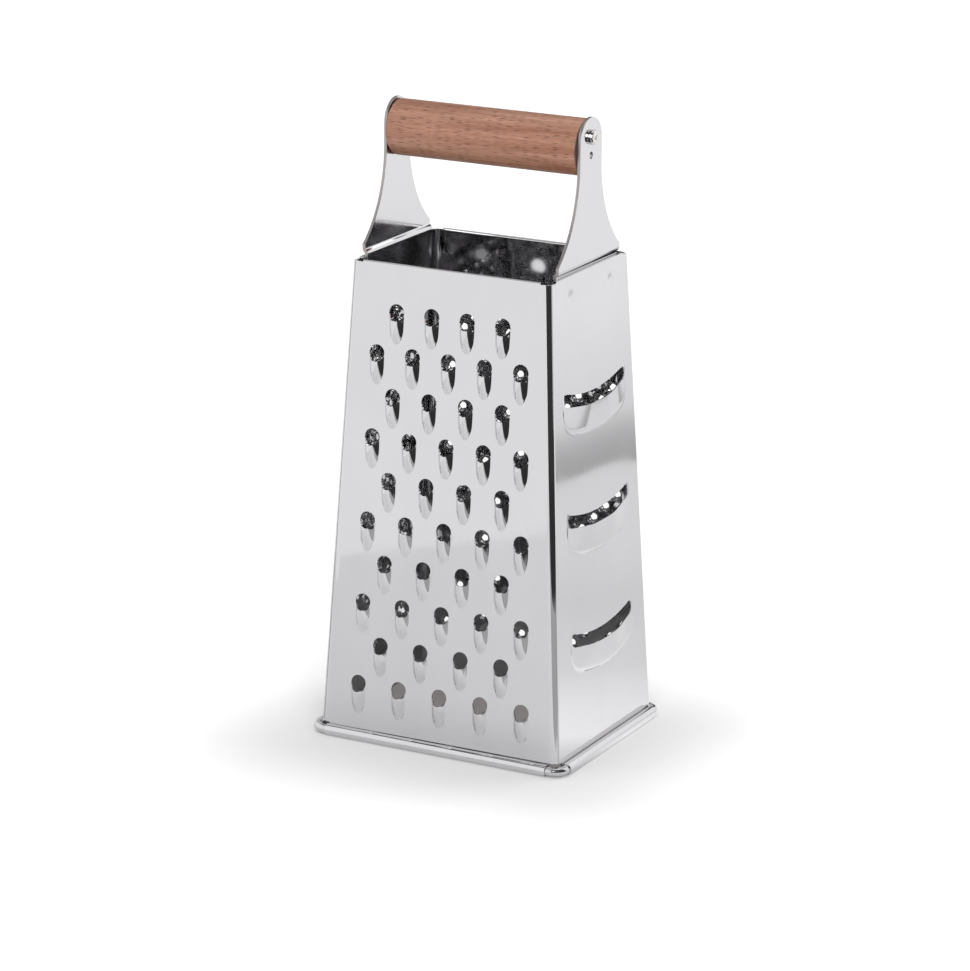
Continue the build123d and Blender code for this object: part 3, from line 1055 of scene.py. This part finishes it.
@dataclass
class PanScrew:
    """Pan-head screw with a cross recess, drawn with its seat at z 0 and its shank downwards."""

    steel: Material
    seat_x: float = 42.4 * MM
    axis_z: float = 242.4 * MM
    head_r: float = 2.9 * MM
    head_h: float = 1.9 * MM
    shank_r: float = 1.6 * MM
    length: float = 14.0 * MM
    point: float = 0.15
    recess: tuple[float, float, float] = (3.3 * MM, 0.75 * MM, 2.0 * MM)
    narrowing: float = 0.45

    def blank(self, name: str) -> Object:
        """Draw the head with its domed edge and pull the shank and its point out of the seat.

        Args:
            name: Name of the screw.
        Returns:
            The screw without its recess.
        """
        piece = primitive("cylinder", name, vertices=40, radius=self.head_r, depth=self.head_h,
                          location=(0, 0, self.head_h / 2))
        pick(piece, lambda co: co.z > self.head_h * 0.9)
        bpy.ops.mesh.select_mode(type="EDGE")
        bpy.ops.mesh.region_to_loop()
        bpy.ops.mesh.bevel(offset=1.0 * MM, segments=6, profile=0.55, affect="EDGES")
        mode("OBJECT")
        pick(piece, lambda co: co.z < HAIR)
        bpy.ops.mesh.select_mode(type="FACE")
        bpy.ops.mesh.inset(thickness=self.head_r - self.shank_r)
        for share in (1 - self.point, self.point):
            bpy.ops.mesh.extrude_region_move(TRANSFORM_OT_translate={"value": (0, 0, -self.length * share)})
        bpy.ops.transform.resize(value=(0.2, 0.2, 1.0))
        mode("OBJECT")
        return piece

    def cross(self, piece: Object) -> None:
        """Sink the cross recess into the head with two bars that narrow downwards.

        Args:
            piece: The screw.
        """
        for turn in (0.5, 0.5 + pi / 2):
            bar = primitive("cube", "tool", size=1.0, location=(0, 0, self.head_h), rotation=(0, 0, turn),
                            scale=self.recess)
            for vertex in bar.data.vertices:
                if vertex.co.z < self.head_h:
                    vertex.co.xy *= self.narrowing
            finish_with(piece, "BOOLEAN", object=bar, operation="DIFFERENCE", solver="EXACT")
            bpy.data.objects.remove(bar)

    def build(self, sign: int) -> None:
        """Make one screw and drive it through its bracket.

        Args:
            sign: 1 for the right hand end, -1 for the left.
        """
        node = "right_screw" if sign > 0 else "left_screw"
        piece = self.blank(node + "_head")
        self.cross(piece)
        finish_with(piece, "BEVEL", width=0.07 * MM, segments=2, limit_method="ANGLE",
                    angle_limit=radians(40))
        piece.data.transform(Matrix.Translation((sign * self.seat_x, 0, self.axis_z))
                             @ Matrix.Rotation(sign * pi / 2, 4, "Y"))
        smooth(piece, 35)
        hand_over(piece, self.steel, node)


# ---- studio

@dataclass
class Studio:
    """Pale floor, soft lamps, cards that only the steel reflects, and the camera.

    Places are given in the photograph's own frame: across to the right, near towards the camera, and up.
    """

    # the camera: round from the front, above the horizon, tipped sideways, away, and aimed across and up
    turn: float = radians(27.77)
    lift: float = radians(16.40)
    roll: float = radians(0.5)
    distance: float = 1561 * MM
    aim: Point = (-1.6 * MM, 98.8 * MM)
    # how much the floor glows: to the camera, in the steel, as painted light under the grater, and as painted
    # light in the steel by metres behind it
    camera_share: float = 0.40
    mirror_share: float = 0.10
    painted_under_glow: float = 0.10
    behind: Sequence[Point] = ((0.0, 0.1), (0.04, 0.55), (0.07, 0.45), (0.13, 0.16), (0.24, 0.06),
                               (0.35, 0.14), (0.52, 0.12), (1.0, 0.0))
    # the painted shadow in the floor's glow: half the grater's foot in millimetres, its darkest share, its
    # spread, its shift forwards
    foot: Point = (50.0, 39.0)
    shadow_share: float = 0.28
    shadow_reach: float = 0.075
    shadow_shift: float = 0.012

    def place(self, across: float, near: float, up: float) -> Vector:
        """Turn a place in the photograph's frame, in metres, into the scene's."""
        return Vector((across * cos(self.turn) + near * sin(self.turn),
                       across * sin(self.turn) - near * cos(self.turn), up))

    def plane(self, name: str, corners: Sequence[Vector]) -> Object:
        """Lay a plane on four corners.

        Args:
            name: Name of the plane.
            corners: Its corners in order round it.
        Returns:
            The plane.
        """
        piece = primitive("plane", name, size=1.0)
        for vertex, co in zip(piece.data.vertices, (corners[0], corners[1], corners[3], corners[2])):
            vertex.co = co
        return piece

    def reflect(self, piece: Object, n: Nodes, tone: object, shown: object) -> None:
        """Make a card glow where it shows and let light through elsewhere.

        Args:
            piece: The card.
            n: Its material's nodes.
            tone: Its colour, or a node that gives it.
            shown: What share of it shows, as an output or a node.
        """
        n.add("OutputMaterial", n.add("MixShader", shown, n.add("BsdfTransparent"), n.add("Emission", tone)))
        piece.data.materials.append(n.owner)

    def card(self, name: str, start: Point, end: Point, high: float, stops: Sequence[Point]) -> None:
        """Stand up a card that only the steel's reflections see.

        Args:
            name: Name of the card.
            start: One end of its foot, across and near.
            end: The other end.
            high: Height of its upper edge.
            stops: Share of the height and how bright the card is there.
        """
        piece = self.plane(name, [self.place(*start, 0), self.place(*end, 0), self.place(*end, high),
                                  self.place(*start, high)])
        n = Nodes(bpy.data.materials.new(name))
        tone = grey(stops[0][1])
        if len(stops) > 1:
            where = n.add("SeparateXYZ", n.add("TexCoord").outputs["Object"])
            share = n.add("MapRange", where.outputs["Z"], 0.0, high)
            tone = n.add("ValToRGB", share, stops=[(at, grey(level)) for at, level in stops])
        self.reflect(piece, n, tone, n.add("LightPath").outputs["Is Glossy Ray"])

    def mat(self, name: str, near: float, up: float, fade: float, level: float) -> None:
        """Lay a mat in front, on the right, that only the steel's reflections see.

        Args:
            name: Name of the mat.
            near: Where it starts, towards the camera.
            up: Its height.
            fade: How far its near edge takes to fade in.
            level: How bright it is.
        """
        # its left edge slants, so that the flat of the front wall looks past it and only the scoops see it
        near_left, far_left, right, far = 45 * MM, -100 * MM, 440 * MM, 445 * MM
        piece = self.plane(name, [self.place(near_left, near, up), self.place(right, near, up),
                                  self.place(right, far, up), self.place(far_left, far, up)])
        n = Nodes(bpy.data.materials.new(name))
        along = n.add("VectorMath", n.add("TexCoord").outputs["Object"], self.place(0, 1, 0),
                      operation="DOT_PRODUCT").outputs["Value"]
        begun = n.add("MapRange", along, near, near + fade, interpolation_type="SMOOTHSTEP")
        shown = n.add("Math", begun, n.add("LightPath").outputs["Is Glossy Ray"], operation="MULTIPLY")
        self.reflect(piece, n, grey(level), shown)

    def floor(self) -> None:
        """Lay the floor: white to the camera and in the steel, with the grater's soft shadow on it, partly
        cast by the lamps and partly painted into its glow.
        """
        far = 6.0
        piece = self.plane("floor", [Vector((-far, -far, 0)), Vector((far, -far, 0)), Vector((far, far, 0)),
                                     Vector((-far, far, 0))])
        n = Nodes(bpy.data.materials.new("pale_floor"))
        path = n.add("LightPath")
        to_camera, to_steel = path.outputs["Is Camera Ray"], path.outputs["Is Glossy Ray"]
        coords = n.add("TexCoord").outputs["Object"]
        shift = n.add("VectorMath", coords, self.place(0, self.shadow_shift, 0), operation="SUBTRACT")
        here, there = n.add("SeparateXYZ", coords), n.add("SeparateXYZ", shift)
        outside, beyond = [], []
        for axis, half in zip("XY", self.foot):
            off = n.add("Math", here.outputs[axis], operation="ABSOLUTE")
            outside.append(n.add("MapRange", off, half * MM, (half + 5) * MM))
            past = n.add("Math", there.outputs[axis], operation="ABSOLUTE")
            past = n.add("Math", past, half * MM, operation="SUBTRACT")
            past = n.add("Math", past, 0.0, operation="MAXIMUM")
            beyond.append(n.add("Math", past, 2.0, operation="POWER"))
        # painted shadow: the floor's glow is dimmed close to the grater; far off it is raised, as the lamps
        # reach it less
        total = n.add("Math", beyond[0], beyond[1], operation="ADD")
        gap = n.add("Math", total, operation="SQRT")
        out_of_painted_shadow = n.add("MapRange", gap, 0.0, self.shadow_reach, interpolation_type="SMOOTHSTEP")
        low = n.add("MapRange", gap, 0.3, 2.0, self.shadow_share, self.shadow_share + 0.6)
        near = n.add("Math", out_of_painted_shadow, 1 - self.shadow_share, low, operation="MULTIPLY_ADD")
        share = n.add("Math", to_camera, self.camera_share, operation="MULTIPLY")
        share = n.add("Math", share, near, operation="MULTIPLY")
        # painted light: in the steel the floor behind on the right glows brighter, as though nearer to a lamp
        behind = n.add("VectorMath", coords, self.place(0.83, -0.56, 0), operation="DOT_PRODUCT")
        painted_glow_behind = n.add("ValToRGB", behind.outputs["Value"],
                    stops=[(at, grey(level)) for at, level in self.behind])
        mirror = n.add("Math", out_of_painted_shadow, self.mirror_share, painted_glow_behind, operation="MULTIPLY_ADD")
        mirror = n.add("Math", to_steel, mirror, operation="MULTIPLY")
        both = n.add("Math", share, mirror, operation="ADD")
        # painted light: under the grater the floor gets a faint warm glow for the camera, in place of the
        # light that falls in
        clear = n.add("Math", outside[0], outside[1], operation="MAXIMUM")
        glow = n.add("Emission", grey(1.0), n.add("Math", both, clear, operation="MULTIPLY"))
        under = n.add("Math", 1.0, clear, operation="SUBTRACT")
        under = n.add("Math", under, to_camera, operation="MULTIPLY")
        under = n.add("Math", under, self.painted_under_glow, operation="MULTIPLY")
        light = n.add("AddShader", glow, n.add("Emission", linear("#ffeeea"), under))
        n.add("OutputMaterial", n.add("AddShader", n.add("BsdfDiffuse", grey(0.8)), light))
        piece.data.materials.append(n.owner)

    def world(self) -> None:
        """Pale surroundings, dark in the steel and white where the camera looks past the floor."""
        n = Nodes(bpy.data.worlds.new("studio"))
        bpy.context.scene.world = n.owner
        path = n.add("LightPath")
        light, steel, camera = (n.add("Background", grey(1.0), level) for level in (0.42, 0.1, 1.0))
        seen = n.add("MixShader", path.outputs["Is Glossy Ray"], light, steel)
        seen = n.add("MixShader", path.outputs["Is Camera Ray"], seen, camera)
        n.add("OutputWorld", seen)

    def lamp(self, name: str, where: Vector, size: float, power: float) -> None:
        """Hang a square soft lamp that looks at the grater.

        Args:
            name: Name of the lamp.
            where: Its place in metres.
            size: Its side in metres.
            power: Its power in watts.
        """
        data = bpy.data.lights.new(name, "AREA")
        data.shape, data.size, data.energy = "SQUARE", size, power
        lamp = bpy.data.objects.new(name, data)
        lamp.location = where
        lamp.rotation_euler = (where - Vector((0, 0, 0.1))).to_track_quat("Z", "Y").to_euler()
        bpy.context.scene.collection.objects.link(lamp)

    def camera(self) -> None:
        """Set the camera where the photograph was taken from."""
        back = self.place(0, 1, 0) * cos(self.lift) + Vector((0, 0, sin(self.lift)))
        data = bpy.data.cameras.new("camera")
        data.lens, data.sensor_width = 147.2, 36.0
        data.clip_start, data.clip_end = 0.05, 50.0
        camera = bpy.data.objects.new("camera", data)
        camera.location = self.place(self.aim[0], 0, self.aim[1]) + back * self.distance
        turn = back.to_track_quat("Z", "Y") @ Quaternion((0, 0, 1), self.roll)
        camera.rotation_euler = turn.to_euler()
        bpy.context.scene.collection.objects.link(camera)
        bpy.context.scene.camera = camera
        bpy.context.scene.view_settings.view_transform = "Standard"

    def build(self) -> None:
        """Set the whole studio up."""
        self.floor()
        self.world()
        self.lamp("overhead", self.place(0.1, -0.4, 1.9), size=1.8, power=9.0)
        self.lamp("key_front", self.place(0.1, 1.7, 0.9), size=1.2, power=18.0)
        self.lamp("fill_left", self.place(-1.5, 0.5, 1.5), size=1.2, power=3.0)
        self.lamp("fill_right", self.place(1.5, -0.8, 1.3), size=1.0, power=7.0)
        # what each part of the steel mirrors: the front wall, the side walls and the corner strip
        self.card("left_card", (-0.325, -0.6), (-0.325, 0.62), 0.55, [(0.0, 1.09)])
        self.card("left_back_card", (-0.325, -0.6), (0.12, -1.1), 0.55, [(0.0, 0.62)])
        self.card("right_card", (0.422, -0.9), (0.422, 0.1), 0.6,
                  [(0.0, 0.5), (0.018, 0.6), (0.03, 0.72), (0.045, 0.95), (0.07, 1.0), (0.15, 1.13)])
        self.card("dark_card", (-0.13, 0.45), (0.345, 0.335), 0.25,
                  [(0.0, 0.45), (0.1, 0.42), (0.176, 0.16), (0.25, 0.05), (1.0, 0.04)])
        # what the scoops' flanks mirror
        self.mat("grey_mat", near=80 * MM, up=1 * MM, fade=50 * MM, level=0.5)
        self.mat("dark_mat", near=55 * MM, up=60 * MM, fade=70 * MM, level=0.04)
        self.camera()


def main() -> None:
    """Build the grater in order and set the studio up round it."""
    logging.basicConfig(level=logging.INFO, format="%(name)s %(message)s")
    body = Body()
    sheet = BrightSteel("bright_sheet", waviness=0.16).build()
    bowed = BrightSteel("bright_bowed_sheet", waviness=0.1,
                        bulges=((6, 150, 60, 0.27), (-2, 96, 40, 0.05), (2, 48, 40, 0.05))).build()
    strip = BrightSteel("bright_strip", roughness=0.1, cut_edges=True).build()
    drawn = BrightSteel("drawn_wire", colour="#cdccce", roughness=0.14, along_x=True).build()
    plated = BrightSteel("plated_screw", colour="#d6d4d2", roughness=0.13).build()

    coarse = staggered(body, Side.FRONT, heights(22.9 * MM, 16.7 * MM, 10), 5, 0.349)
    medium = staggered(body, Side.BACK, heights(24.8 * MM, 5.52 * MM, 25), 8, 0.224)
    fine = staggered(body, Side.LEFT, heights(24.8 * MM, 5.6 * MM, 26), 7, 0.27)
    slots = [(0.0, body.up_slope(Side.RIGHT, z)) for z in heights(50.0 * MM, 47.6 * MM, 3)]
    high = body.up_slope(Side.RIGHT, body.height - 8.0 * MM)
    dimples = [(16.7 * MM, high), (-16.7 * MM, high)]
    spike = Burr(name="spike", hole_r=1.1 * MM, ring_r=1.9 * MM, lift=1.0 * MM, teeth=4)
    Wall(body, Side.FRONT, "front_panel", sheet, [(Scoop(), coarse)]).build()
    Wall(body, Side.BACK, "back_panel", sheet, [(Burr(), medium)]).build()
    Wall(body, Side.LEFT, "left_panel", sheet, [(spike, fine), (Dimple(), dimples)]).build()
    Wall(body, Side.RIGHT, "right_panel", bowed, [(Blade(), slots), (Dimple(), dimples)]).build()

    FootWire(body, drawn).build()
    Brackets(strip).build()
    Bar(TurnedBeech().build()).build()
    for sign in (1, -1):
        PanScrew(plated).build(sign)
    Studio().build()


if __name__ == "__main__":
    main()
